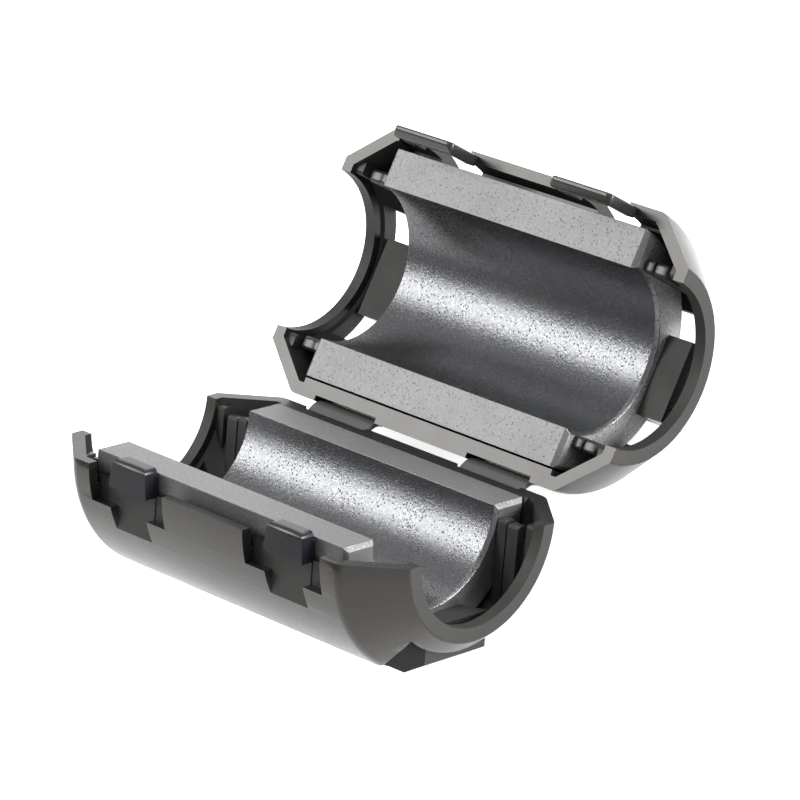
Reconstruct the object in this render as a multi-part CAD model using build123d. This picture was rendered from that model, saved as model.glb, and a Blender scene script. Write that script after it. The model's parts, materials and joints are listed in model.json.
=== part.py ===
"""Clip-on ferrite bead: a hinged plastic case in two halves, each holding half of a ferrite sleeve.

Each half is drawn in the closed frame: X runs along the cable, +Y points to the hinge, the two core
faces meet at Z = 0, the base lies below it and the cover above it. What the halves share is drawn
below Z = 0. The finished pieces are then put in the resting frame: opened, standing on both barrels,
+Z up, with the origin on the surface they stand on, below the hinge line. Millimetres and degrees.
"""

from build123d import *
import os
from math import atan2, degrees, radians, sin, tan

# Case
CASE_LENGTH = 37.0
BARREL_LENGTH = 28.8
BARREL_RADIUS = 11.75
END_RADIUS = 8.12
CABLE_OPENING_RADIUS = 6.93
WALL = 1.1
END_WALL = 1.05
CAVITY_CORNER_X = 14.06
CAVITY_END_RADIUS = 7.65
SHOULDER_ROUND = 1.2
END_ROUND = 0.3

# Parting faces, measured from the plane where the cores meet
BASE_RIM_AT_HINGE = -0.1
BASE_RIM_AT_LATCH = -0.65
BASE_MIDDLE_RIM = -1.0
COVER_RIM = -0.25
LATCH_RIM_INNER_RADIUS = 10.87
LATCH_RIM_DEPTH = 2.6

# Ferrite sleeve
CORE_LENGTH = 27.4
CORE_RADIUS = 10.04
BORE_RADIUS = 6.76
CORE_BEVEL = 0.3
CORE_LAND_BEVEL = 0.35
CORE_FACE_GAP = 0.01
CORE_CLEARANCE_RADIUS = 10.09

# Seats that carry the core inside a shell
SEAT_RADIUS = 10.07
SEAT_WIDTH = 1.2
SEAT_PLACES = (-9.0, 9.0)
SEAT_TOP = -6.2
HINGE_WALL_FACE = 10.18
HINGE_WALL_DEPTH = 3.2
HINGE_WALL_END_GAP = 0.2

# Opening angle at rest, and the hinge straps
OPEN_ANGLE = 116.5
STRAP_PLACES = {"left": -8.4, "right": 8.4}
STRAP_WIDTH = 6.6
STRAP_THICKNESS = 0.42
STRAP_LENGTH = 3.25
STRAP_CLEARANCE = 0.1

# Catches: fixed lugs on the base, springy loops on the cover
CATCH_PLACES = {"left": -8.5, "right": 8.5}
LUG_BOTTOM_WIDTH = 4.18
LUG_TOP_WIDTH = 3.6
LUG_STEM_WIDTH = 4.05
LUG_STEM_FACE = 10.27
LUG_HEAD_FACE = 11.43
LUG_HEAD_TOP = 0.39
LUG_HEAD_BOTTOM = -1.96
LUG_HEAD_ROUND = 0.45
LUG_BACK_RADIUS = 10.12
LUG_STEM_BOTTOM = -5.7
LUG_STEM_TOP = -0.2
LUG_HEAD_BACK = 9.9
POCKET_WIDTH = 8.2
POCKET_LEDGE = -3.8
POCKET_BACK = 10.19
POCKET_BACK_TOP = -1.8
LATCH_WALL_BACK = 8.0
LOOP_WIDTH = 6.4
LOOP_WINDOW_WIDTH = 4.5
LOOP_OUTER_FACE = 11.45
LOOP_INNER_FACE = 10.55
LOOP_BAR_TOP = -2.1
LOOP_BAR_BOTTOM = -3.65
LOOP_LEAD_IN = 0.5
LOOP_CORNER = 0.35
COVER_SLOT_FACE = 10.15
COVER_SLOT_DEPTH = 5.9

# Core retainers at each end of a shell: a block on a springy tongue, and posts beside the bore
TONGUE_HALF_WIDTH = 3.4
TONGUE_SLOT_EDGE = 5.8
TONGUE_SLOT_TOP = -5.0
TONGUE_ROOT_X = 9.9
TONGUE_FLAT_START_X = 12.8
TONGUE_BEND_X = 14.6
TONGUE_TIP_X = 16.6
TONGUE_TIP_GAP = 0.6
TONGUE_FACE_AT_CORE = 7.4
TONGUE_FACE_AT_TIP = 6.95
TONGUE_UNDERSIDE = 11.2
TONGUE_TIP_UNDERSIDE = 9.95
CORE_END_GAP = 0.1
POST_X = 15.4
POST_Y = 7.45
POST_SIZE = 1.1
POST_TOP = -1.15
POST_ROUND = 0.3
BASE_LATCH_POST_TOP = -1.9
RIB_END_X = 14.7
RIB_TOP = -1.0
WEB_TOP = -2.15
WEB_SETBACK = 0.1
LEDGE_X = 16.6
LEDGE_Y = 7.75
LEDGE_SIZE = 1.3
LEDGE_TOP = -0.75

# A strap that bends in an even arc puts the hinge line here; the halves lean apart evenly at rest
STRAP_MIDDLE_Y = BARREL_RADIUS - STRAP_THICKNESS / 2
STRAP_ARC_RADIUS = STRAP_LENGTH / radians(OPEN_ANGLE)
PIVOT_Y = STRAP_MIDDLE_Y + STRAP_ARC_RADIUS - STRAP_LENGTH / 2 / tan(radians(OPEN_ANGLE / 2))
LEAN = 90 - OPEN_ANGLE / 2
PIVOT_HEIGHT = BARREL_RADIUS - PIVOT_Y * sin(radians(LEAN))

FAR = 60.0
EVERYWHERE = (-FAR, FAR)


def slab(x_range, y_range, z_range):
    """A box between three pairs of limits."""
    sizes = [high - low for low, high in (x_range, y_range, z_range)]
    middle = [(high + low) / 2 for low, high in (x_range, y_range, z_range)]
    return Pos(*middle) * Box(*sizes)


def barrel(radius, length):
    """A full cylinder along X, centred on the origin."""
    return Rot(Y=90) * Cylinder(radius, length)


def tube(inner_radius, outer_radius, x_low, x_high):
    """A full tube along X between two stations."""
    length = x_high - x_low
    ring = barrel(outer_radius, length) - barrel(inner_radius, length + 1)
    return Pos((x_low + x_high) / 2, 0, 0) * ring


def both_ends(piece):
    """A piece of the +X end, with its mirror image at the other end."""
    return piece + mirror(piece, Plane.YZ)


def both_sides(piece):
    """A piece on the hinge side, with its mirror image on the latch side."""
    return piece + mirror(piece, Plane.XZ)


def case_outline():
    """The filled case as a solid of revolution, with rounded shoulders."""
    half_length, half_barrel = CASE_LENGTH / 2, BARREL_LENGTH / 2
    outline = Polyline(
        (-half_length, 0),
        (-half_length, END_RADIUS),
        (-half_barrel, BARREL_RADIUS),
        (half_barrel, BARREL_RADIUS),
        (half_length, END_RADIUS),
        (half_length, 0),
        close=True,
    )
    face = make_face(outline)
    shoulders = [corner for corner in face.vertices() if abs(corner.Y - BARREL_RADIUS) < 0.01]
    face = fillet(shoulders, SHOULDER_ROUND)
    ends = [corner for corner in face.vertices() if abs(corner.Y - END_RADIUS) < 0.01]
    return revolve(fillet(ends, END_ROUND), Axis.X, 360)


def case_cavity():
    """The space inside the case, with the cable openings that run out through both end walls."""
    end_x = CASE_LENGTH / 2 - END_WALL
    outline = Polyline(
        (-end_x, 0),
        (-end_x, CAVITY_END_RADIUS),
        (-CAVITY_CORNER_X, BARREL_RADIUS - WALL),
        (CAVITY_CORNER_X, BARREL_RADIUS - WALL),
        (end_x, CAVITY_END_RADIUS),
        (end_x, 0),
        close=True,
    )
    return revolve(make_face(outline), Axis.X, 360) + barrel(CABLE_OPENING_RADIUS, FAR)


def rounded_top(box, radius):
    """A box whose two upper edges along X are rounded."""
    return fillet(box.edges().filter_by(Axis.X).sort_by(Axis.Z)[-2:], radius)


def seats(filled):
    """Hoops under the core, and the thicker flat-faced wall beside the hinge."""
    half = SEAT_WIDTH / 2
    hoops = [tube(SEAT_RADIUS, BARREL_RADIUS - WALL / 2, x - half, x + half) for x in SEAT_PLACES]
    low_part = slab(EVERYWHERE, EVERYWHERE, (-FAR, SEAT_TOP))
    end_x = CORE_LENGTH / 2 - HINGE_WALL_END_GAP
    hinge_wall = slab((-end_x, end_x), (HINGE_WALL_FACE, FAR), (-HINGE_WALL_DEPTH, FAR))
    return ((hoops[0] + hoops[1]) & low_part) + (hinge_wall & filled)


def corner_posts(filled):
    """Ribs, posts and ledges beside the bore that keep the core from sliding out lengthways."""
    half, ledge_half = POST_SIZE / 2, LEDGE_SIZE / 2
    first_x = CORE_LENGTH / 2 + CORE_END_GAP
    wall_x = CASE_LENGTH / 2 - END_WALL / 2
    deep = -BARREL_RADIUS
    y_range = (POST_Y - half, POST_Y + half)
    rib = slab((first_x, RIB_END_X), y_range, (deep, RIB_TOP))
    post = slab((POST_X - half, POST_X + half), y_range, (deep, POST_TOP))
    ledge = slab((LEDGE_X, wall_x), (LEDGE_Y - ledge_half, LEDGE_Y + ledge_half), (deep, LEDGE_TOP))
    web = slab((first_x, wall_x), (POST_Y + WEB_SETBACK, POST_Y + half), (deep, WEB_TOP))
    uprights = [rounded_top(box, POST_ROUND) for box in (rib, post, ledge)]
    pieces = both_sides(uprights[0] + uprights[1] + uprights[2] + web) & filled
    return both_ends(pieces - barrel(CABLE_OPENING_RADIUS + WEB_SETBACK, FAR))


def tongue_slots():
    """The slots that free a springy tongue at each end, and what is taken off its underside."""
    inner, end_x = TONGUE_HALF_WIDTH, TONGUE_TIP_X + TONGUE_TIP_GAP
    side = slab((TONGUE_ROOT_X, end_x), (inner, TONGUE_SLOT_EDGE), (-FAR, TONGUE_SLOT_TOP))
    tip = slab((TONGUE_TIP_X, end_x), (-inner, inner), (-FAR, TONGUE_SLOT_TOP))
    outline = Polyline(
        (TONGUE_FLAT_START_X, -TONGUE_UNDERSIDE),
        (TONGUE_BEND_X, -TONGUE_UNDERSIDE),
        (TONGUE_TIP_X, -TONGUE_TIP_UNDERSIDE),
        (TONGUE_TIP_X, -FAR),
        (TONGUE_FLAT_START_X, -FAR),
        close=True,
    )
    underside = extrude(Plane.XZ * make_face(outline), inner, both=True)
    return both_ends(both_sides(side) + tip + underside)


def tongue_blocks():
    """The block on the end of each tongue, which stands up behind the core's end."""
    first_x = CORE_LENGTH / 2 + CORE_END_GAP
    outline = Polyline(
        (first_x, -TONGUE_FACE_AT_CORE),
        (TONGUE_TIP_X, -TONGUE_FACE_AT_TIP),
        (TONGUE_TIP_X, -TONGUE_TIP_UNDERSIDE),
        (TONGUE_BEND_X, -TONGUE_UNDERSIDE),
        (TONGUE_FLAT_START_X, -TONGUE_UNDERSIDE),
        (TONGUE_FLAT_START_X, -SEAT_RADIUS),
        (first_x, -SEAT_RADIUS),
        close=True,
    )
    return both_ends(extrude(Plane.XZ * make_face(outline), TONGUE_HALF_WIDTH, both=True))


def strap_recesses():
    """Rim notches on the hinge side, where the straps lie flush with the barrel when closed."""
    half = STRAP_WIDTH / 2 + STRAP_CLEARANCE
    y_range = (BARREL_RADIUS - STRAP_THICKNESS - 0.05, FAR)
    z_range = (-STRAP_LENGTH / 2, FAR)
    notches = [slab((x - half, x + half), y_range, z_range) for x in STRAP_PLACES.values()]
    return notches[0] + notches[1]


def latch_rim_relief():
    """What thins the rim on the latch side."""
    end_x = CAVITY_CORNER_X - 0.2
    ring = tube(CORE_CLEARANCE_RADIUS, LATCH_RIM_INNER_RADIUS, -end_x, end_x)
    return ring & slab(EVERYWHERE, (-FAR, 0), (-LATCH_RIM_DEPTH, FAR))


def plain_half(filled, rim_at_hinge, rim_at_latch):
    """One shell below Z = 0 with what both halves share, cut off at its rim."""
    tilt = degrees(atan2(rim_at_hinge - rim_at_latch, 2 * BARREL_RADIUS))
    middle = (rim_at_hinge + rim_at_latch) / 2
    above = Pos(0, 0, middle) * Rot(X=tilt) * slab(EVERYWHERE, EVERYWHERE, (0, FAR))
    core_end = CORE_LENGTH / 2 + CORE_END_GAP / 2
    core_space = tube(0.5, SEAT_RADIUS, -core_end, core_end)
    shell = filled - case_cavity() - latch_rim_relief()
    shell = shell + seats(filled) + corner_posts(filled)
    shell = shell - tongue_slots() + tongue_blocks()
    return shell - core_space - above - strap_recesses()


def catch_lug(x):
    """A fixed catch lug: a stem, with a tapered head that overhangs outwards."""
    half = LUG_STEM_WIDTH / 2
    stem_z = (LUG_STEM_BOTTOM, LUG_STEM_TOP)
    stem = slab((x - half, x + half), (-LUG_STEM_FACE, -LATCH_WALL_BACK), stem_z)
    front = Plane(origin=(x, -LUG_HEAD_FACE, 0), x_dir=(1, 0, 0), z_dir=(0, -1, 0))
    outline = Polyline(
        (-LUG_BOTTOM_WIDTH / 2, LUG_HEAD_BOTTOM),
        (LUG_BOTTOM_WIDTH / 2, LUG_HEAD_BOTTOM),
        (LUG_TOP_WIDTH / 2, LUG_HEAD_TOP),
        (-LUG_TOP_WIDTH / 2, LUG_HEAD_TOP),
        close=True,
    )
    head = extrude(front * make_face(outline), -(LUG_HEAD_FACE - LUG_HEAD_BACK))
    top = head.faces().sort_by(Axis.Z)[-1]
    head = fillet(top.edges().sort_by(Axis.Y)[:3], LUG_HEAD_ROUND)
    return stem + head - barrel(LUG_BACK_RADIUS, FAR)


def base_shell(filled):
    """The lower shell, with two pockets in its latch wall and a catch lug in each."""
    shell = plain_half(filled, BASE_RIM_AT_HINGE, BASE_RIM_AT_LATCH)
    core_clearance = barrel(CORE_CLEARANCE_RADIUS, FAR)
    between = CATCH_PLACES["right"] - POCKET_WIDTH / 2
    shell -= slab((-between, between), (-FAR, -LATCH_WALL_BACK), (BASE_MIDDLE_RIM, FAR))
    for x in CATCH_PLACES.values():
        half = POCKET_WIDTH / 2
        shell -= slab((x - half, x + half), (-FAR, -LATCH_WALL_BACK), (POCKET_LEDGE, FAR))
        back_x = (x - half - 0.2, x + half + 0.2)
        back = slab(back_x, (-POCKET_BACK, -LATCH_WALL_BACK), (LUG_STEM_BOTTOM, POCKET_BACK_TOP))
        shell += back - core_clearance
        half = LUG_STEM_WIDTH / 2
        stem_z = (LUG_STEM_BOTTOM - 1, POCKET_LEDGE + 0.1)
        shell -= slab((x - half, x + half), (-FAR, -LUG_STEM_FACE), stem_z)
        shell += catch_lug(x)
    first_x = CORE_LENGTH / 2 + CORE_END_GAP / 2
    y_range = (-LEDGE_Y - LEDGE_SIZE / 2, -POST_Y + POST_SIZE / 2)
    above_posts = slab((first_x, CASE_LENGTH / 2 - END_WALL), y_range, (BASE_LATCH_POST_TOP, FAR))
    return shell - (both_ends(above_posts) & case_cavity())


def cover_shell(filled):
    """The upper shell, still drawn below Z = 0, with a see-through slot above each catch loop."""
    shell = plain_half(filled, COVER_RIM, COVER_RIM)
    half = LOOP_WINDOW_WIDTH / 2
    for x in CATCH_PLACES.values():
        shell -= slab((x - half, x + half), (-FAR, -COVER_SLOT_FACE), (-COVER_SLOT_DEPTH, FAR))
    return shell


def catch_loop(x):
    """A springy U-shaped loop in the closed frame: two legs below the cover's rim and a bar."""
    outer, inner = LOOP_WIDTH / 2, LOOP_WINDOW_WIDTH / 2
    y_range = (-LOOP_OUTER_FACE, -LOOP_INNER_FACE)
    plate = slab((x - outer, x + outer), y_range, (LOOP_BAR_BOTTOM, -COVER_RIM))
    corners = plate.edges().filter_by(Axis.Y).sort_by(Axis.Z)[:2]
    plate = chamfer(corners, LOOP_CORNER)
    lead_in = plate.edges().filter_by(Axis.X).sort_by(Axis.Z)[:2].sort_by(Axis.Y)[-1]
    plate = chamfer(lead_in, LOOP_LEAD_IN)
    return plate - slab((x - inner, x + inner), (-FAR, 0), (LOOP_BAR_TOP, FAR))


def half_core():
    """Half of the ferrite sleeve, below Z = 0, with its edges broken."""
    sleeve = barrel(CORE_RADIUS, CORE_LENGTH) - barrel(BORE_RADIUS, CORE_LENGTH + 1)
    sleeve = chamfer(sleeve.edges().filter_by(GeomType.CIRCLE), CORE_BEVEL)
    half = sleeve & slab(EVERYWHERE, EVERYWHERE, (-FAR, -CORE_FACE_GAP))
    corner = CORE_LAND_BEVEL * 2**0.5
    bevel = Pos(CORE_LENGTH / 2, 0, -CORE_FACE_GAP) * Rot(Y=45) * Box(corner, FAR, corner)
    return half - both_ends(bevel)


def strap(x):
    """A hinge strap as it stands in the opened frame, bent in an even arc, base end first."""
    section = Pos(x, STRAP_MIDDLE_Y, -STRAP_LENGTH / 2) * Rectangle(STRAP_WIDTH, STRAP_THICKNESS)
    bend = Axis((0, STRAP_MIDDLE_Y + STRAP_ARC_RADIUS, -STRAP_LENGTH / 2), (-1, 0, 0))
    return revolve(section, bend, OPEN_ANGLE)


def opened(piece):
    """A piece of the cover, from the closed frame to where the opened hinge holds it."""
    return Pos(0, PIVOT_Y, 0) * Rot(X=-OPEN_ANGLE) * Pos(0, -PIVOT_Y, 0) * piece


def standing(piece):
    """A piece from the opened frame, in which the base lies level, to the resting frame."""
    return Pos(0, 0, PIVOT_HEIGHT) * Rot(X=-LEAN) * Pos(0, -PIVOT_Y, 0) * piece


def main():
    """Builds every node and writes its STEP file."""
    os.makedirs("parts", exist_ok=True)
    filled = case_outline()
    nodes = {
        "base_shell": standing(base_shell(filled)),
        "base_core": standing(half_core()),
        "cover_shell": standing(opened(mirror(cover_shell(filled), Plane.XY))),
        "cover_core": standing(opened(mirror(half_core(), Plane.XY))),
    }
    for side, x in STRAP_PLACES.items():
        nodes[f"hinge_strap_{side}"] = standing(strap(x))
    for side, x in CATCH_PLACES.items():
        nodes[f"catch_loop_{side}"] = standing(opened(catch_loop(x)))
    for name, piece in nodes.items():
        export_step(piece, f"parts/{name}.step")
        print(name, round(piece.volume, 1), piece.bounding_box())
    root = standing(opened(Location((0, -LOOP_OUTER_FACE, -COVER_RIM))))
    print("hinge line: height", PIVOT_HEIGHT, "and place in the closed frame", PIVOT_Y)
    print("loop roots:", root.position)


main()
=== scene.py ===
"""The looks of a clip-on ferrite bead: a hinged black nylon case, open, with half a ferrite sleeve in
each half. Every piece is built from its CAD node, with softened edges and moulded or ground surfaces.

A half's own frame, used to tell its faces apart, has X along the cable, Y from the barrel's axis to
the hinge and Z out of the half through its open side, with the core's faces at Z = 0. Metres.
"""

import json
import logging
import math
from collections.abc import Callable
from dataclasses import dataclass, field
from enum import Enum, IntEnum

import bmesh
import bpy
from mathutils import Matrix, Quaternion, Vector

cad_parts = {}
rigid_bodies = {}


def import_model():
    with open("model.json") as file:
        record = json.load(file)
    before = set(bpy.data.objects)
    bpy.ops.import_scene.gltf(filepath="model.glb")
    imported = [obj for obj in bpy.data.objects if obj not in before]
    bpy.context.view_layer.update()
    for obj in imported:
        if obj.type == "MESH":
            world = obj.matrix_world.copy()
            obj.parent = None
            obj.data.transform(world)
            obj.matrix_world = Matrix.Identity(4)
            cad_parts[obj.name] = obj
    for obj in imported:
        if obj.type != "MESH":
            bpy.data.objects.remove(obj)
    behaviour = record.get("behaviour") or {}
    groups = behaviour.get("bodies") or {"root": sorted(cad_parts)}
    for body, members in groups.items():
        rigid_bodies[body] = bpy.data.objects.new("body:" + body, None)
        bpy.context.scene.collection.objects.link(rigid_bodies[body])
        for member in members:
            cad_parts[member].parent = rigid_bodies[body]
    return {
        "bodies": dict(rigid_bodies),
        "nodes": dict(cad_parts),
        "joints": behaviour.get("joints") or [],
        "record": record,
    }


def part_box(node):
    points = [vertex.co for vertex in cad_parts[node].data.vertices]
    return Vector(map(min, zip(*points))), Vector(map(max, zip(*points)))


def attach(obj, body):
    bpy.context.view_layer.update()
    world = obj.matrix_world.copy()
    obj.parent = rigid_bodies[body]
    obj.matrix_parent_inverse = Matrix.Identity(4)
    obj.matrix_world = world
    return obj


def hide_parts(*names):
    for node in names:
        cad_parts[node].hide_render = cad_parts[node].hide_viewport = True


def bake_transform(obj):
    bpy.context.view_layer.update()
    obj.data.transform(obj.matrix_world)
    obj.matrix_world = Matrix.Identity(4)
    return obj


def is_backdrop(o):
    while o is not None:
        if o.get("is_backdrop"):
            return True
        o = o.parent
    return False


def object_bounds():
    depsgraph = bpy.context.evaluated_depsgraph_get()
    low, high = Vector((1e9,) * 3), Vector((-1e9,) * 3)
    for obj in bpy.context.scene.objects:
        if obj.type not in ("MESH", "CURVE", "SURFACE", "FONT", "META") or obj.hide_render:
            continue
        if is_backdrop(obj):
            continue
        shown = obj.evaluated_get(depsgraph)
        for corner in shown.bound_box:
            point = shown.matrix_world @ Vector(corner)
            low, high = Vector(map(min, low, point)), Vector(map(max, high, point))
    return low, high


LOG = logging.getLogger("ferrite_bead")
MM = 0.001
# The part of a face's normal along an axis, over which the face looks squarely or half along it.
SQUARE_ON = 0.9
HALF_TURNED = 0.5
Colour = tuple[float, float, float]
Frame = dict[str, object]


class Side(Enum):
    """The two ends of the case, as the names of their nodes give them."""

    LEFT = "left"
    RIGHT = "right"


class Half(Enum):
    """The two halves of the case, by the name of their body."""

    BASE = "base"
    COVER = "cover"


class ShellFinish(IntEnum):
    """The finishes of a case half, by their place in its list of materials."""

    MOULDED = 0
    INSIDE = 1
    POLISHED = 2


class CoreFinish(IntEnum):
    """The finishes of a half core, by their place in its list of materials."""

    SKIN = 0
    GROUND = 1
    BORE = 2
    END = 3


# Shader node groups -------------------------------------------------------------------------------


class ShaderGroup:
    """A shader node group that is built once and placed in any number of materials."""

    def __init__(self, name: str, inputs: dict[str, float], outputs: tuple[str, ...]) -> None:
        """Makes the group with its sockets.

        Args:
            name: the group's name.
            inputs: the float inputs and their default values.
            outputs: the names of the float outputs.
        """
        self.tree = bpy.data.node_groups.new(name, "ShaderNodeTree")
        for label, value in inputs.items():
            socket = self.tree.interface.new_socket(label, in_out="INPUT", socket_type="NodeSocketFloat")
            socket.default_value = value
        for label in outputs:
            self.tree.interface.new_socket(label, in_out="OUTPUT", socket_type="NodeSocketFloat")
        self.inlet = self.tree.nodes.new("NodeGroupInput")
        self.outlet = self.tree.nodes.new("NodeGroupOutput")
        self.place = self.tree.nodes.new("ShaderNodeTexCoord").outputs["Object"]

    def noise(self, scale: bpy.types.NodeSocket, detail: float, roughness: float) -> bpy.types.NodeSocket:
        """Adds fractal noise over the object's own coordinates.

        Args:
            scale: the socket that gives the noise's scale.
            detail: the number of octaves.
            roughness: how strong each finer octave is.

        Returns:
            The noise's value socket.
        """
        node = self.tree.nodes.new("ShaderNodeTexNoise")
        self.tree.links.new(self.place, node.inputs["Vector"])
        self.tree.links.new(scale, node.inputs["Scale"])
        node.inputs["Detail"].default_value = detail
        node.inputs["Roughness"].default_value = roughness
        return node.outputs["Fac"]

    def ramp(
        self,
        value: bpy.types.NodeSocket,
        low: float | bpy.types.NodeSocket,
        high: float | bpy.types.NodeSocket,
        start: float = 0.0,
        end: float = 1.0,
    ) -> bpy.types.NodeSocket:
        """Maps a value smoothly from one range to another.

        Args:
            value: the socket to map.
            low: the value that becomes start.
            high: the value that becomes end.
            start: what low becomes.
            end: what high becomes.

        Returns:
            The mapped value's socket.
        """
        node = self.tree.nodes.new("ShaderNodeMapRange")
        node.interpolation_type = "SMOOTHSTEP"
        self.tree.links.new(value, node.inputs["Value"])
        for label, limit in (("From Min", low), ("From Max", high)):
            if isinstance(limit, bpy.types.NodeSocket):
                self.tree.links.new(limit, node.inputs[label])
            else:
                node.inputs[label].default_value = limit
        node.inputs["To Min"].default_value = start
        node.inputs["To Max"].default_value = end
        return node.outputs["Result"]

    def calculate(
        self,
        operation: str,
        first: bpy.types.NodeSocket,
        second: float | bpy.types.NodeSocket,
    ) -> bpy.types.NodeSocket:
        """Adds one arithmetic node.

        Args:
            operation: Blender's name for the operation.
            first: the first operand.
            second: the second operand, a socket or a plain number.

        Returns:
            The result's socket.
        """
        node = self.tree.nodes.new("ShaderNodeMath")
        node.operation = operation
        self.tree.links.new(first, node.inputs[0])
        if isinstance(second, bpy.types.NodeSocket):
            self.tree.links.new(second, node.inputs[1])
        else:
            node.inputs[1].default_value = second
        return node.outputs["Value"]

    def give(self, label: str, value: bpy.types.NodeSocket) -> None:
        """Links a value to one of the group's outputs."""
        self.tree.links.new(value, self.outlet.inputs[label])


class Effects:
    """The shared surface effects, each made once."""

    def __init__(self) -> None:
        """Builds every group."""
        self.mottle = self._mottle()
        self.grain = self._grain()
        self.pits = self._pits()

    @staticmethod
    def _mottle() -> ShaderGroup:
        """Slow, cloudy variation around 1, for tint and gloss."""
        group = ShaderGroup("slow_mottle", {"Scale": 150.0, "Amount": 0.1}, ("Factor",))
        clouds = group.noise(group.inlet.outputs["Scale"], detail=3.0, roughness=0.55)
        swing = group.calculate("SUBTRACT", clouds, 0.5)
        scaled = group.calculate("MULTIPLY", swing, group.inlet.outputs["Amount"])
        group.give("Factor", group.calculate("ADD", scaled, 1.0))
        return group

    @staticmethod
    def _grain() -> ShaderGroup:
        """Sharp fine grain: a height for bump and a mask of the grains that stand out."""
        fineness, fine_share, edge_softness = 2.3, 0.5, 0.1
        group = ShaderGroup("fine_grain", {"Scale": 6000.0, "Threshold": 0.55}, ("Height", "Mask"))
        coarse = group.noise(group.inlet.outputs["Scale"], detail=2.0, roughness=0.7)
        fine_scale = group.calculate("MULTIPLY", group.inlet.outputs["Scale"], fineness)
        fine = group.noise(fine_scale, detail=1.0, roughness=0.5)
        height = group.calculate("ADD", coarse, group.calculate("MULTIPLY", fine, fine_share))
        group.give("Height", height)
        edge = group.inlet.outputs["Threshold"]
        group.give("Mask", group.ramp(coarse, edge, group.calculate("ADD", edge, edge_softness)))
        return group

    @staticmethod
    def _pits() -> ShaderGroup:
        """Scattered small pits: 1 in a pit and 0 on the surface between them."""
        floor_radius, rim_radius = 0.12, 0.3
        group = ShaderGroup("scattered_pits", {"Scale": 2600.0, "Share": 0.3}, ("Mask",))
        cells = group.tree.nodes.new("ShaderNodeTexVoronoi")
        group.tree.links.new(group.place, cells.inputs["Vector"])
        group.tree.links.new(group.inlet.outputs["Scale"], cells.inputs["Scale"])
        near = group.ramp(cells.outputs["Distance"], floor_radius, rim_radius, start=1.0, end=0.0)
        pick = group.tree.nodes.new("ShaderNodeSeparateColor")
        group.tree.links.new(cells.outputs["Color"], pick.inputs["Color"])
        chosen = group.calculate("LESS_THAN", pick.outputs["Red"], group.inlet.outputs["Share"])
        group.give("Mask", group.calculate("MULTIPLY", near, chosen))
        return group


# Finishes -----------------------------------------------------------------------------------------


class SurfaceMaterial:
    """A node material with one Principled BSDF, to which effects are added."""

    def __init__(self, name: str) -> None:
        """Makes an empty material.

        Args:
            name: the material's name.
        """
        self.material = bpy.data.materials.new(name)
        self.material.use_nodes = True
        self.nodes = self.material.node_tree.nodes
        self.links = self.material.node_tree.links
        self.shader = self.nodes["Principled BSDF"]

    def set(self, **values: float | tuple[float, ...]) -> None:
        """Sets plain values on the shader, its socket names written with underscores."""
        for label, value in values.items():
            self.shader.inputs[label.replace("_", " ")].default_value = value

    def effect(self, group: ShaderGroup, **values: float) -> bpy.types.ShaderNodeGroup:
        """Places a shared group.

        Args:
            group: the shared node group.
            **values: the values of its inputs.

        Returns:
            The placed group node.
        """
        node = self.nodes.new("ShaderNodeGroup")
        node.node_tree = group.tree
        for label, value in values.items():
            node.inputs[label].default_value = value
        return node

    def colour_mix(
        self,
        first: bpy.types.NodeSocket | Colour,
        second: bpy.types.NodeSocket | Colour,
        factor: bpy.types.NodeSocket | float,
        blend: str = "MIX",
    ) -> bpy.types.NodeSocket:
        """Mixes two colours.

        Args:
            first: the colour where the factor is 0, or its socket.
            second: the colour that is mixed in, or its socket.
            factor: how much of it is mixed in, or the factor's socket.
            blend: Blender's name for the way they mix.

        Returns:
            The mixed colour's socket.
        """
        node = self.nodes.new("ShaderNodeMix")
        node.data_type = "RGBA"
        node.blend_type = blend
        for label, value in (("Factor", factor), ("A", first), ("B", second)):
            if isinstance(value, bpy.types.NodeSocket):
                self.links.new(value, node.inputs[label])
            else:
                node.inputs[label].default_value = (*value, 1.0) if isinstance(value, tuple) else value
        return node.outputs["Result"]

    def tinted(self, colour: bpy.types.NodeSocket, factor: bpy.types.NodeSocket) -> bpy.types.NodeSocket:
        """Multiplies a colour by a grey factor."""
        return self.colour_mix(colour, factor, 1.0, "MULTIPLY")

    def scaled(self, value: bpy.types.NodeSocket, factor: float, base: float = 0.0) -> bpy.types.NodeSocket:
        """Multiplies a value and adds to it.

        Args:
            value: the value's socket.
            factor: what it is multiplied by.
            base: what is then added.

        Returns:
            The result's socket.
        """
        node = self.nodes.new("ShaderNodeMath")
        node.operation = "MULTIPLY_ADD"
        self.links.new(value, node.inputs[0])
        node.inputs[1].default_value = factor
        node.inputs[2].default_value = base
        return node.outputs["Value"]

    def bump(self, height: bpy.types.NodeSocket, depth: float) -> None:
        """Adds relief on top of what the normal already has.

        Args:
            height: the height's socket.
            depth: the height in metres at a value of 1.
        """
        node = self.nodes.new("ShaderNodeBump")
        node.inputs["Distance"].default_value = depth
        self.links.new(height, node.inputs["Height"])
        normal = self.shader.inputs["Normal"]
        if normal.is_linked:
            self.links.new(normal.links[0].from_socket, node.inputs["Normal"])
        self.links.new(node.outputs["Normal"], normal)

    def feed(self, label: str, value: bpy.types.NodeSocket) -> None:
        """Links a value to one of the shader's inputs."""
        self.links.new(value, self.shader.inputs[label])


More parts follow.
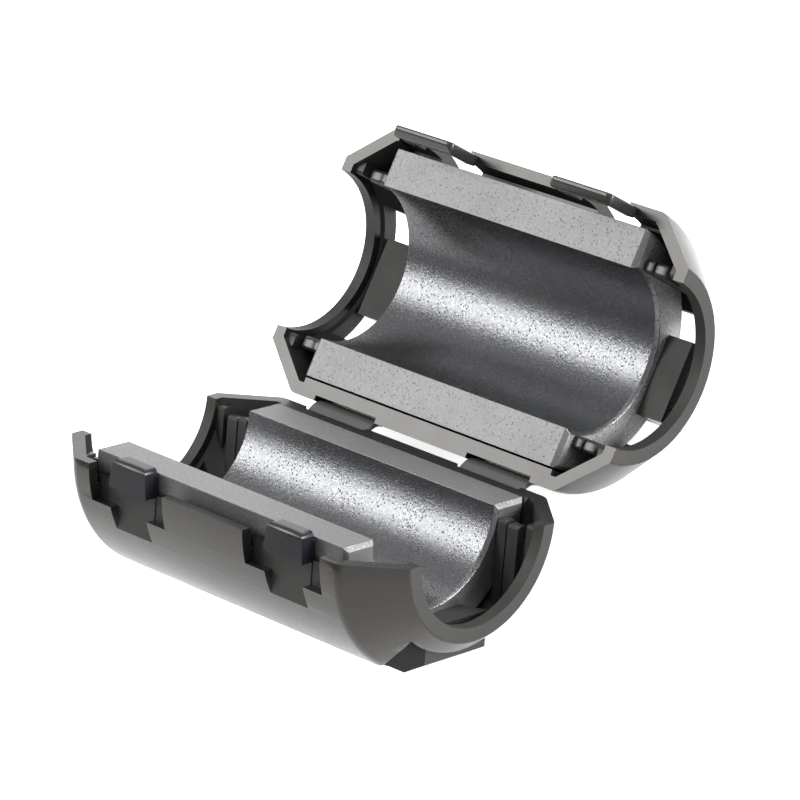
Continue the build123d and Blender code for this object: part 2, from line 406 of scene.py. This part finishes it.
@dataclass(frozen=True)
class NylonFinish:
    """Moulded black nylon.

    Attributes:
        name: the material's name.
        colour: the plastic's own colour.
        roughness: the mean roughness.
        grain_depth: the depth of the moulded grain, in metres.
        fleck: how much lighter the flecks of filler are.
        ior: its index of refraction.
        shine: the tint of its reflections.
    """

    name: str
    colour: Colour
    roughness: float
    grain_depth: float = 3e-6
    fleck: float = 0.006
    ior: float = 1.41
    shine: Colour = (1.0, 0.975, 0.94)

    def build(self, effects: Effects) -> bpy.types.Material:
        """Makes the material.

        Args:
            effects: the shared node groups.

        Returns:
            The nylon material.
        """
        surface = SurfaceMaterial(self.name)
        grain = surface.effect(effects.grain, Scale=5200.0, Threshold=0.6)
        mottle = surface.effect(effects.mottle, Scale=260.0, Amount=0.5)
        flecked = tuple(channel + self.fleck for channel in self.colour)
        colour = surface.colour_mix(self.colour, flecked, grain.outputs["Mask"])
        surface.feed("Base Color", surface.tinted(colour, mottle.outputs["Factor"]))
        surface.feed("Roughness", surface.scaled(mottle.outputs["Factor"], self.roughness))
        surface.bump(grain.outputs["Height"], self.grain_depth)
        surface.set(IOR=self.ior, Specular_Tint=(*self.shine, 1.0))
        return surface.material


@dataclass(frozen=True)
class FerriteFinish:
    """Sintered ferrite, as fired or ground.

    Attributes:
        name: the material's name.
        colour: the ceramic's own colour.
        pit_colour: the colour in its pits.
        roughness: the mean roughness.
        metallic: how metallic its shine is.
        grain_scale: the fineness of its grain, per metre.
        grain_depth: the depth of its grain, in metres.
        pit_share: the share of cells with a pit.
        fleck: how much lighter the standing grains are.
        pit_depth: the depth of the pits, in metres.
        pit_scale: the number of pit cells per metre.
        ior: its index of refraction.
    """

    name: str
    colour: Colour
    pit_colour: Colour
    roughness: float
    metallic: float
    grain_scale: float
    grain_depth: float
    pit_share: float
    fleck: float
    pit_depth: float = 2.0e-5
    pit_scale: float = 2700.0
    ior: float = 1.9

    def build(self, effects: Effects) -> bpy.types.Material:
        """Makes the material.

        Args:
            effects: the shared node groups.

        Returns:
            The ferrite material.
        """
        surface = SurfaceMaterial(self.name)
        grain = surface.effect(effects.grain, Scale=self.grain_scale, Threshold=0.52)
        pits = surface.effect(effects.pits, Scale=self.pit_scale, Share=self.pit_share)
        mottle = surface.effect(effects.mottle, Scale=180.0, Amount=0.25)
        light = tuple(channel + self.fleck for channel in self.colour)
        body = surface.colour_mix(self.colour, light, grain.outputs["Mask"])
        pitted = surface.colour_mix(body, self.pit_colour, pits.outputs["Mask"])
        surface.feed("Base Color", surface.tinted(pitted, mottle.outputs["Factor"]))
        surface.feed("Roughness", surface.scaled(mottle.outputs["Factor"], self.roughness))
        surface.bump(grain.outputs["Height"], self.grain_depth)
        surface.bump(surface.scaled(pits.outputs["Mask"], -1.0, 1.0), self.pit_depth)
        surface.set(Metallic=self.metallic, IOR=self.ior)
        return surface.material


@dataclass
class Finishes:
    """Every finish of the bead, built once.

    Attributes:
        effects: the shared node groups.
        moulded: the case's plain surfaces.
        inside: the case's inner surfaces, which stay matt and dark.
        polished: the catch lugs, moulded against smoother steel.
        strap: the thin hinge straps, their nylon painted lighter than the case's as painted highlight.
        ground: the ferrite's ground mating faces.
        bore: the ferrite's bore.
        end: the ferrite's end faces and broken edges where light falls, painted pale as painted light, and
            speckled.
        skin: the ferrite's dark outside, also used as painted shade on the end faces and broken edges in
            shadow.
    """

    effects: Effects
    moulded: NylonFinish = NylonFinish("moulded_nylon", (0.0150, 0.0142, 0.0132), roughness=0.27)
    inside: NylonFinish = NylonFinish("inner_nylon", (0.015, 0.015, 0.0145), roughness=0.62)
    polished: NylonFinish = NylonFinish(
        "polished_nylon", (0.008, 0.008, 0.012), roughness=0.3, grain_depth=1.2e-6, fleck=0.003
    )
    # Painted highlight: the straps' nylon gets a lighter colour than the rest of the case.
    strap: NylonFinish = NylonFinish(
        "lit_strap_nylon", (0.075, 0.074, 0.072), roughness=0.33, grain_depth=1.5e-6
    )
    ground: FerriteFinish = FerriteFinish(
        "ground_ferrite",
        colour=(0.086, 0.086, 0.087),
        pit_colour=(0.028, 0.028, 0.029),
        roughness=0.5,
        metallic=0.15,
        grain_scale=5000.0,
        grain_depth=1.6e-5,
        pit_share=0.42,
        pit_depth=2.5e-5,
        pit_scale=4600.0,
        fleck=0.035,
        ior=1.85,
    )
    bore: FerriteFinish = FerriteFinish(
        "bore_ferrite",
        colour=(0.078, 0.080, 0.084),
        pit_colour=(0.006, 0.006, 0.007),
        roughness=0.27,
        metallic=0.75,
        grain_scale=5600.0,
        grain_depth=1.8e-5,
        pit_share=0.65,
        pit_scale=3800.0,
        fleck=0.045,
    )
    # Pale finish used as painted light on the lit end faces and broken edges of the ferrite.
    end: FerriteFinish = FerriteFinish(
        "fired_ferrite_lit_end",
        colour=(0.15, 0.15, 0.148),
        pit_colour=(0.02, 0.02, 0.02),
        roughness=0.55,
        metallic=0.1,
        grain_scale=5200.0,
        grain_depth=1.6e-5,
        pit_share=0.5,
        fleck=0.12,
    )
    # Dark outside finish, also used as painted shade on the ferrite's shaded end faces and broken edges.
    skin: FerriteFinish = FerriteFinish(
        "fired_ferrite_skin_and_shade",
        colour=(0.022, 0.022, 0.023),
        pit_colour=(0.01, 0.01, 0.01),
        roughness=0.6,
        metallic=0.1,
        grain_scale=5200.0,
        grain_depth=1.2e-5,
        pit_share=0.2,
        fleck=0.02,
    )
    made: dict[str, bpy.types.Material] = field(default_factory=dict)

    def get(self, finish: NylonFinish | FerriteFinish) -> bpy.types.Material:
        """The material of a finish, made the first time that it is asked for."""
        if finish.name not in self.made:
            self.made[finish.name] = finish.build(self.effects)
        return self.made[finish.name]


# Pieces -------------------------------------------------------------------------------------------


@dataclass
class HalfFrame:
    """Turns the resting frame into a half's own frame.

    Attributes:
        half: which half it is.
        hinge: a point on the hinge line.
        open_angle: how far the case stands open, in radians.
        axis_distance: from the hinge line to the barrel's axis.
    """

    half: Half
    hinge: Vector
    open_angle: float
    axis_distance: float

    @property
    def to_own(self) -> Matrix:
        """The matrix from the resting frame to the half's own frame."""
        lean = Matrix.Rotation((math.pi - self.open_angle) / 2, 4, "X")
        facing = Matrix.Rotation(math.pi if self.half is Half.COVER else 0.0, 4, "Z")
        to_axis = Matrix.Translation((0, self.axis_distance, 0))
        return to_axis @ lean @ facing @ Matrix.Translation(-self.hinge)

    def locate(self, face: bpy.types.MeshPolygon) -> tuple[Vector, Vector]:
        """A face's middle and normal in the half's own frame."""
        return self.to_own @ face.center, self.to_own.to_3x3() @ face.normal


@dataclass
class Softening:
    """How the edges of a piece are broken.

    Attributes:
        width: the width of the broken edge, in metres.
        segments: the number of strips across it.
        sharp_angle: the angle over which an edge is broken, in radians.
        crease_angle: the angle over which the shading breaks, in radians.
        flat_angle: the angle under which two faces become one, in radians.
        weld_distance: how near two corners are that become one, in metres.
        face_weight: how much a large face pulls the shading of its edges towards its own.
    """

    width: float
    segments: int = 2
    sharp_angle: float = math.radians(24)
    crease_angle: float = math.radians(40)
    flat_angle: float = math.radians(0.4)
    weld_distance: float = 0.002 * MM
    face_weight: int = 80

    def apply(self, piece: bpy.types.Object) -> None:
        """Cleans a piece's mesh and rounds its sharp edges.

        Args:
            piece: the piece to change.
        """
        shape = bmesh.new()
        shape.from_mesh(piece.data)
        bmesh.ops.remove_doubles(shape, verts=shape.verts, dist=self.weld_distance)
        bmesh.ops.dissolve_limit(
            shape, angle_limit=self.flat_angle, verts=shape.verts, edges=shape.edges
        )
        shape.to_mesh(piece.data)
        shape.free()
        bevel = piece.modifiers.new("broken_edges", "BEVEL")
        bevel.width = self.width
        bevel.segments = self.segments
        bevel.limit_method = "ANGLE"
        bevel.angle_limit = self.sharp_angle
        bevel.miter_outer = "MITER_ARC"
        evaluated = piece.evaluated_get(bpy.context.evaluated_depsgraph_get())
        mesh = bpy.data.meshes.new_from_object(evaluated)
        piece.modifiers.clear()
        piece.data = mesh
        mesh.shade_smooth()
        mesh.set_sharp_from_angle(angle=self.crease_angle)
        weighted = piece.modifiers.new("even_shading", "WEIGHTED_NORMAL")
        weighted.keep_sharp = True
        weighted.weight = self.face_weight


class Piece:
    """One visible piece, copied from a CAD node and finished."""

    def __init__(self, frame: Frame, node: str, body: str, slot: str) -> None:
        """Copies the node.

        Args:
            node: the CAD node's name.
            body: the body the piece rides on.
            slot: the record's material slot; not used.
        """
        source = frame["nodes"][node]
        self.node, self.body, self.slot = node, body, slot
        self.object = bpy.data.objects.new(f"{node}_finished", source.data.copy())
        self.object.data.materials.clear()
        bpy.context.scene.collection.objects.link(self.object)

    def soften(self, softening: Softening) -> None:
        """Rounds the piece's sharp edges."""
        softening.apply(self.object)

    def dress(
        self,
        materials: list[bpy.types.Material],
        choose: Callable[[bpy.types.MeshPolygon], int] | None = None,
    ) -> None:
        """Gives the piece its materials.

        Args:
            materials: the piece's materials.
            choose: the place in them of the one that a face takes; the first, if left out.
        """
        mesh = self.object.data
        mesh.materials.clear()
        for material in materials:
            mesh.materials.append(material)
        for face in mesh.polygons:
            face.material_index = choose(face) if choose else 0

    def settle(self, rides: bool = True) -> None:
        """Joins the piece to its body when it rides on it, and hides its CAD node in its place.

        Args:
            rides: whether it moves with its body as one; not so if it bends between two.
        """
        if rides:
            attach(self.object, self.body)
        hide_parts(self.node)
        LOG.info("%s: %d faces on %s", self.object.name, len(self.object.data.polygons), self.body)


@dataclass
class CaseShell:
    """A half of the moulded case.

    Attributes:
        half: which half it is.
        place: the half's own frame.
        finishes: the bead's finishes.
        barrel_radius: the outer radius of the barrel.
        catch_x: how far each catch is from the middle of the case.
        softening: how its edges are broken.
        lug_reach: half the width of the smoothly moulded area of a lug.
        pocket_reach: half the width of the pocket round a lug.
        pocket_back: the distance of the pocket's back from the axis, at its deepest.
        stem_depth: how far a lug's stem reaches below the mating faces.
        head_depth: how far a lug's head reaches below them.
        ledge_depth: how far the pocket's ledge lies below the mating faces.
        skin_depth: how far below the barrel's surface a face is no longer part of it.
        tongue_reach: half the width of the springy tongues.
        wall: the thickness of the wall.
        axis_facing: how squarely a face looks at the axis when it counts as inside, out of 1.
    """

    half: Half
    place: HalfFrame
    finishes: Finishes
    barrel_radius: float
    catch_x: float
    softening: Softening = field(default_factory=lambda: Softening(0.09 * MM))
    lug_reach: float = 2.2 * MM
    pocket_reach: float = 4.2 * MM
    pocket_back: float = 9.0 * MM
    stem_depth: float = 5.8 * MM
    head_depth: float = 2.1 * MM
    ledge_depth: float = 3.7 * MM
    skin_depth: float = 0.02 * MM
    tongue_reach: float = 3.6 * MM
    wall: float = 1.1 * MM
    axis_facing: float = 0.3

    def build(self, frame: Frame) -> None:
        """Builds the shell from its node.
        """
        piece = Piece(frame, f"{self.half.value}_shell", self.half.value, "black_nylon")
        piece.soften(self.softening)
        finishes = self.finishes
        order = {
            ShellFinish.MOULDED: finishes.moulded,
            ShellFinish.INSIDE: finishes.inside,
            ShellFinish.POLISHED: finishes.polished,
        }
        piece.dress([finishes.get(order[finish]) for finish in ShellFinish], self._choose)
        piece.settle()

    def _choose(self, face: bpy.types.MeshPolygon) -> ShellFinish:
        """The finish of a face.

        Args:
            face: a face of the shell.

        Returns:
            Its place in the list of materials.
        """
        spot, normal = self.place.locate(face)
        radius = math.hypot(spot.y, spot.z)
        below_surface = radius < self.barrel_radius - self.skin_depth
        inner = radius < self.barrel_radius - self.wall
        if self.half is Half.BASE and spot.y < -self.pocket_back and spot.z > -self.stem_depth:
            from_catch = abs(abs(spot.x) - self.catch_x)
            if from_catch < self.lug_reach and (below_surface or spot.z > -self.ledge_depth):
                stem = spot.z < -self.head_depth and normal.y < -SQUARE_ON
                return ShellFinish.INSIDE if stem else ShellFinish.POLISHED
            if from_catch < self.pocket_reach and below_surface and normal.y < -HALF_TURNED:
                return ShellFinish.INSIDE
        if abs(spot.y) < self.tongue_reach and inner:
            if normal.z > HALF_TURNED:
                return ShellFinish.INSIDE
            if abs(normal.x) > SQUARE_ON:
                return ShellFinish.MOULDED
        faces_axis = normal.y * spot.y + normal.z * spot.z < -self.axis_facing * radius
        if faces_axis and normal.z < SQUARE_ON or abs(normal.x) > SQUARE_ON and inner:
            return ShellFinish.INSIDE
        return ShellFinish.MOULDED


@dataclass
class FerriteHalf:
    """Half of the ferrite sleeve.

    Attributes:
        half: the half of the case it sits in.
        place: the half's own frame.
        finishes: the bead's finishes.
        bore_radius: the radius of its bore.
        softening: how its edges are broken.
        bore_edge: how far the bore's finish goes beyond its radius, on the broken edge.
        ground_depth: how far below the mating plane a ground face may lie.
        edge_rise: how far a face on the end turns up when it is the broken edge over it, out of 1.
    """

    half: Half
    place: HalfFrame
    finishes: Finishes
    bore_radius: float
    softening: Softening = field(default_factory=lambda: Softening(0.16 * MM, segments=3))
    bore_edge: float = 0.4 * MM
    ground_depth: float = 0.3 * MM
    edge_rise: float = 0.4

    def build(self, frame: Frame) -> None:
        """Builds the half core from its node.
        """
        piece = Piece(frame, f"{self.half.value}_core", self.half.value, "ferrite")
        piece.soften(self.softening)
        finishes = self.finishes
        order = {
            CoreFinish.SKIN: finishes.skin,
            CoreFinish.GROUND: finishes.ground,
            CoreFinish.BORE: finishes.bore,
            CoreFinish.END: finishes.end,
        }
        piece.dress([finishes.get(order[finish]) for finish in CoreFinish], self._choose)
        piece.settle()

    def _choose(self, face: bpy.types.MeshPolygon) -> CoreFinish:
        """The finish of a face.

        The ends are painted pale in the cover, as painted light, and dark in the base, as painted shade,
        and the broken edges over them the other way round: one fired ferrite in lit and shaded copies.

        Args:
            face: a face of the half core.

        Returns:
            Its place in the list of materials.
        """
        spot, normal = self.place.locate(face)
        radius = math.hypot(spot.y, spot.z)
        at_bore = radius < self.bore_radius + self.bore_edge
        # Painted light and shade: the pale finish stands for lit ends and the dark one for shaded ends,
        # swapped between halves.
        if abs(normal.x) > HALF_TURNED and not (at_bore and radius > self.bore_radius):
            over_end = normal.z > self.edge_rise
            return CoreFinish.END if (self.half is Half.COVER) != over_end else CoreFinish.SKIN
        if normal.z > SQUARE_ON and spot.z > -self.ground_depth:
            return CoreFinish.GROUND
        return CoreFinish.BORE if at_bore else CoreFinish.SKIN


@dataclass
class HingeStrap:
    """One of the two thin straps that join the halves.

    Attributes:
        side: which end of the hinge it is at.
        finishes: the bead's finishes.
        softening: how its edges are broken.
    """

    side: Side
    finishes: Finishes
    softening: Softening = field(default_factory=lambda: Softening(0.06 * MM))

    def build(self, frame: Frame) -> None:
        """Builds the strap between the two halves, fixed in place and joined to neither body.
        """
        piece = Piece(frame, f"hinge_strap_{self.side.value}", "base", "black_nylon")
        piece.soften(self.softening)
        # The strap's lighter colour is painted highlight.
        piece.dress([self.finishes.get(self.finishes.strap)])
        piece.settle(rides=False)
        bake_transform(piece.object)


@dataclass
class CatchLoop:
    """One of the springy loops on the cover that snap over the base's lugs.

    Attributes:
        side: which end of the case it is at.
        finishes: the bead's finishes.
        softening: how its edges are broken.
    """

    side: Side
    finishes: Finishes
    softening: Softening = field(default_factory=lambda: Softening(0.12 * MM))

    def build(self, frame: Frame) -> None:
        """Builds the loop from its node.
        """
        name = f"catch_loop_{self.side.value}"
        piece = Piece(frame, name, name, "black_nylon")
        piece.soften(self.softening)
        piece.dress([self.finishes.get(self.finishes.moulded)])
        piece.settle()


# Studio -------------------------------------------------------------------------------------------


@dataclass(frozen=True)
class SoftBox:
    """A square soft light.

    Attributes:
        name: the light's name.
        towards: the direction from the object to the light.
        distance: how far away it stands, in metres.
        size: the length of its side, in metres.
        power: its power in watts.
    """

    name: str
    towards: tuple[float, float, float]
    distance: float
    size: float
    power: float

    def build(self, centre: Vector) -> None:
        """Hangs the light and turns it to the object.

        Args:
            centre: the point that it shines on.
        """
        data = bpy.data.lights.new(self.name, "AREA")
        data.shape = "SQUARE"
        data.size = self.size
        data.energy = self.power
        lamp = bpy.data.objects.new(self.name, data)
        direction = Vector(self.towards).normalized()
        lamp.location = centre + direction * self.distance
        lamp.rotation_mode = "QUATERNION"
        lamp.rotation_quaternion = direction.to_track_quat("Z", "Y")
        bpy.context.scene.collection.objects.link(lamp)


@dataclass(frozen=True)
class Viewpoint:
    """The camera.

    Attributes:
        target: the point on its line of sight beside the object.
        azimuth: where it stands, in degrees from -Y towards +X.
        elevation: how high it stands, in degrees.
        roll: how far it leans to the right, in degrees.
        distance: how far away it stands, in metres.
        lens: its focal length, in millimetres.
        sensor: the width of its sensor, in millimetres.
    """

    target: tuple[float, float, float] = (-0.372 * MM, 0.502 * MM, 9.712 * MM)
    azimuth: float = 55.362
    elevation: float = 39.694
    roll: float = 22.305
    distance: float = 366.87 * MM
    lens: float = 207.83
    sensor: float = 36.0

    def build(self) -> None:
        """Sets up the scene's camera."""
        turn, lift = math.radians(self.azimuth), math.radians(self.elevation)
        back = Vector(
            (math.sin(turn) * math.cos(lift), -math.cos(turn) * math.cos(lift), math.sin(lift))
        )
        data = bpy.data.cameras.new("camera")
        data.lens = self.lens
        data.sensor_width = self.sensor
        data.clip_start, data.clip_end = 0.01, 20.0
        camera = bpy.data.objects.new("camera", data)
        camera.location = Vector(self.target) + back * self.distance
        camera.rotation_mode = "QUATERNION"
        level = (-back).to_track_quat("-Z", "Y")
        camera.rotation_quaternion = level @ Quaternion((0, 0, 1), -math.radians(self.roll))
        bpy.context.scene.collection.objects.link(camera)
        bpy.context.scene.camera = camera


@dataclass
class Studio:
    """The floor, the surroundings, the lights and the camera.

    Attributes:
        centre: the middle of the object.
        floor_size: the side of the floor, in metres.
        floor_grey: how pale the floor is.
        floor_glow: how much the floor shines by itself, for the camera and in reflections.
        ambient: the light that comes from all round.
        dark_side: the direction in which the studio is left dark.
        dark_side_glow: how bright reflections show that side, where the rest is 1.
        dark_side_edge: where its shade starts and where it is full, as cosines from its direction.
    """

    centre: Vector
    floor_size: float = 6.0
    floor_grey: float = 0.86
    floor_glow: float = 0.85
    ambient: float = 0.5
    dark_side: tuple[float, float, float] = (-0.64, -0.76, 0.12)
    dark_side_glow: float = 0.45
    dark_side_edge: tuple[float, float] = (0.35, 0.95)
    lights: tuple[SoftBox, ...] = (
        SoftBox("key_light", (-0.62, -0.38, 0.69), distance=0.6, size=0.30, power=3.4),
        SoftBox("rear_light", (-0.35, 0.85, 0.45), distance=0.7, size=0.35, power=1.5),
        SoftBox("side_light", (0.88, 0.50, 0.12), distance=0.6, size=0.30, power=9.0),
        SoftBox("overhead_light", (0.25, 0.1, 0.96), distance=0.8, size=0.5, power=2.0),
    )
    viewpoint: Viewpoint = Viewpoint()

    def build(self) -> None:
        """Builds the whole studio."""
        self._floor()
        self._surroundings()
        for light in self.lights:
            light.build(self.centre)
        self.viewpoint.build()
        bpy.context.scene.view_settings.view_transform = "Standard"

    @staticmethod
    def _seen(tree: bpy.types.NodeTree) -> bpy.types.NodeSocket:
        """1 for rays from the camera and in reflections or refractions, and 0 for the rest.

        Args:
            tree: the material's or the world's nodes.

        Returns:
            The value's socket.
        """
        path = tree.nodes.new("ShaderNodeLightPath")
        total: bpy.types.NodeSocket = path.outputs["Is Camera Ray"]
        for label in ("Is Glossy Ray", "Is Transmission Ray"):
            add = tree.nodes.new("ShaderNodeMath")
            add.operation = "ADD"
            add.use_clamp = True
            tree.links.new(total, add.inputs[0])
            tree.links.new(path.outputs[label], add.inputs[1])
            total = add.outputs["Value"]
        return total

    def _floor(self) -> None:
        """Lays a pale floor that the object stands on."""
        half = self.floor_size / 2
        mesh = bpy.data.meshes.new("floor")
        corners = [(-half, -half, 0), (half, -half, 0), (half, half, 0), (-half, half, 0)]
        mesh.from_pydata(corners, [], [(0, 1, 2, 3)])
        floor = bpy.data.objects.new("floor", mesh)
        bpy.context.scene.collection.objects.link(floor)
        material = bpy.data.materials.new("pale_floor")
        material.use_nodes = True
        tree = material.node_tree
        shader = tree.nodes["Principled BSDF"]
        shader.inputs["Base Color"].default_value = (self.floor_grey, self.floor_grey, self.floor_grey, 1.0)
        shader.inputs["Roughness"].default_value = 0.9
        shader.inputs["Specular IOR Level"].default_value = 0.0
        shader.inputs["Emission Color"].default_value = (1.0, 1.0, 1.0, 1.0)
        glow = tree.nodes.new("ShaderNodeMath")
        glow.operation = "MULTIPLY"
        glow.inputs[1].default_value = self.floor_glow
        tree.links.new(self._seen(tree), glow.inputs[0])
        tree.links.new(glow.outputs["Value"], shader.inputs["Emission Strength"])
        mesh.materials.append(material)
        floor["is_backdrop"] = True

    def _surroundings(self) -> None:
        """Surrounds the scene with white, dimmer in reflections where the studio's dark side is."""
        world = bpy.data.worlds.new("surroundings")
        world.use_nodes = True
        tree = world.node_tree
        background = tree.nodes["Background"]
        background.inputs["Color"].default_value = (1.0, 1.0, 1.0, 1.0)
        strength = tree.nodes.new("ShaderNodeMapRange")
        tree.links.new(self._seen(tree), strength.inputs["Value"])
        strength.inputs["To Min"].default_value = self.ambient
        toward = tree.nodes.new("ShaderNodeVectorMath")
        toward.operation = "DOT_PRODUCT"
        tree.links.new(tree.nodes.new("ShaderNodeTexCoord").outputs["Generated"], toward.inputs[0])
        toward.inputs[1].default_value = Vector(self.dark_side).normalized()
        shade = tree.nodes.new("ShaderNodeMapRange")
        shade.interpolation_type = "SMOOTHSTEP"
        tree.links.new(toward.outputs["Value"], shade.inputs["Value"])
        shade.inputs["From Min"].default_value = self.dark_side_edge[0]
        shade.inputs["From Max"].default_value = self.dark_side_edge[1]
        shade.inputs["To Min"].default_value = 1.0
        shade.inputs["To Max"].default_value = self.dark_side_glow
        camera = tree.nodes.new("ShaderNodeLightPath").outputs["Is Camera Ray"]
        lit = tree.nodes.new("ShaderNodeMath")
        lit.operation = "MAXIMUM"
        tree.links.new(shade.outputs["Result"], lit.inputs[0])
        tree.links.new(camera, lit.inputs[1])
        tree.links.new(lit.outputs["Value"], strength.inputs["To Max"])
        tree.links.new(strength.outputs["Result"], background.inputs["Strength"])
        bpy.context.scene.world = world


def main() -> None:
    """Builds the bead around its CAD frame, and the studio round the middle of its CAD parts."""
    logging.basicConfig(level=logging.INFO, format="%(message)s")
    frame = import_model()
    cad_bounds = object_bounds()
    record = frame["record"]
    hinge_joint = next(joint for joint in frame["joints"] if joint["name"] == "case_hinge")
    bore = next(mount for mount in record["mounts"] if mount["name"] == "base_cable_bore")
    hinge = Vector(hinge_joint["pos_m"])
    axis_distance = (Vector(bore["pos_m"]) - hinge).length
    open_angle = math.radians(hinge_joint["range_deg"][1])
    barrel_radius = bore["pos_m"][2]  # the barrel rests on the floor
    bore_radius = bore["dims"]["r_mm"] * MM
    loop_low, loop_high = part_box("catch_loop_right")
    catch_x = (loop_low.x + loop_high.x) / 2
    finishes = Finishes(Effects())
    for half in Half:
        place = HalfFrame(half, hinge, open_angle, axis_distance)
        CaseShell(half, place, finishes, barrel_radius, catch_x).build(frame)
        FerriteHalf(half, place, finishes, bore_radius).build(frame)
    for side in Side:
        HingeStrap(side, finishes).build(frame)
        CatchLoop(side, finishes).build(frame)
    low, high = cad_bounds
    Studio((low + high) / 2).build()
    bpy.context.view_layer.update()


if __name__ == "__main__":
    main()
